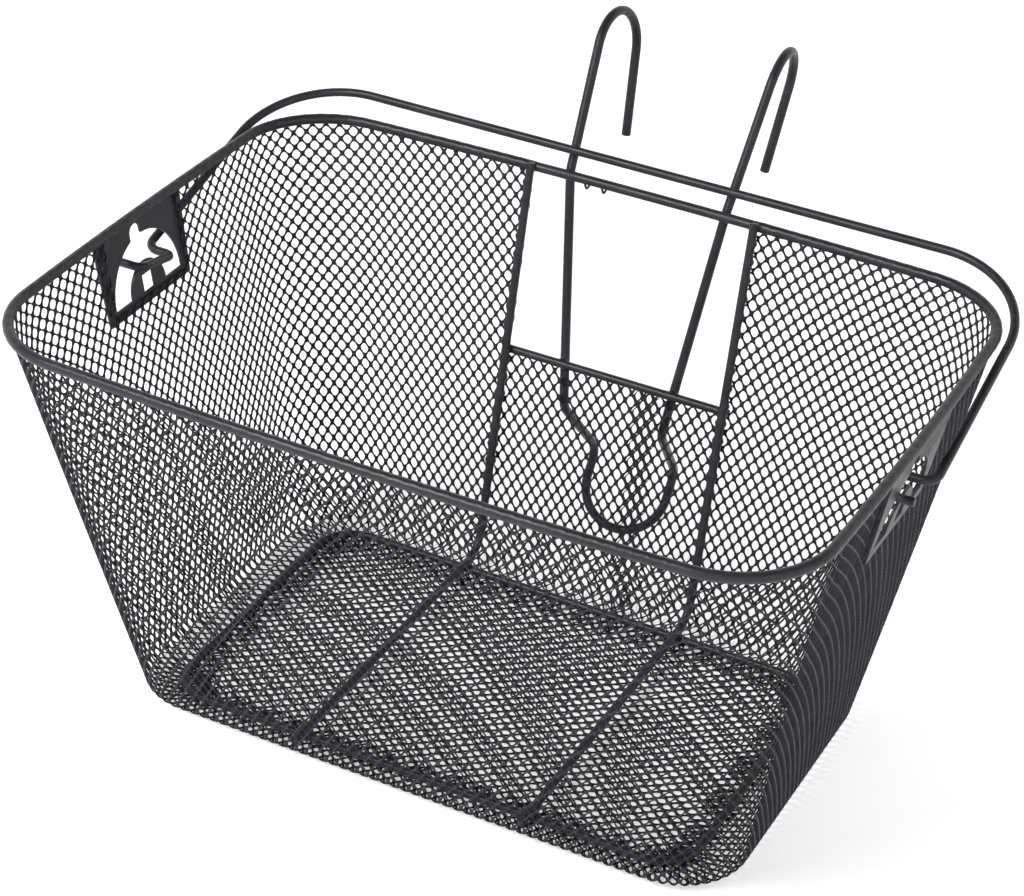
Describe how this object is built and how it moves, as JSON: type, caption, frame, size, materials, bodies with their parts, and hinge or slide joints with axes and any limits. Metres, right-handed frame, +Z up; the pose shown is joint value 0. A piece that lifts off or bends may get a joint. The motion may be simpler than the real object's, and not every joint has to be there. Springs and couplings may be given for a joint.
{
  "type": "handlebar basket",
  "caption": "Tapered bicycle handlebar basket of expanded metal on a wire frame, with hanging hooks, a steering-tube loop and a folding carry handle.",
  "frame": {"origin": "centre of the basket's underside", "axes": "+X to the basket's right seen from the front, -Y front (away from the rider), +Y rear (hooks), +Z up"},
  "size_m": [0.399, 0.36, 0.2759],
  "materials": {
    "frame_wire": "black powder coat, satin",
    "hook_wire": "black powder coat, satin",
    "handle_wire": "black powder coat, satin",
    "plate": "black powder coat, satin",
    "mesh": "black powder coat, satin"
  },
  "bodies": {
    "basket": {"rim_wire": "frame_wire", "base_ring": "frame_wire", "strut_left": "frame_wire", "strut_right": "frame_wire", "crossbar": "frame_wire", "hook_frame": "hook_wire", "side_plate_left": "plate", "side_plate_right": "plate", "wall_mesh": "mesh", "floor_mesh": "mesh"},
    "handle": {"carry_handle": "handle_wire"}
  },
  "joints": [
    {"name": "handle_pivot", "type": "hinge", "parent": "basket", "child": "handle", "pos_m": [0, -0.006, 0.178], "axis": [1, 0, 0], "range_deg": [0, 73.5]}
  ]
}
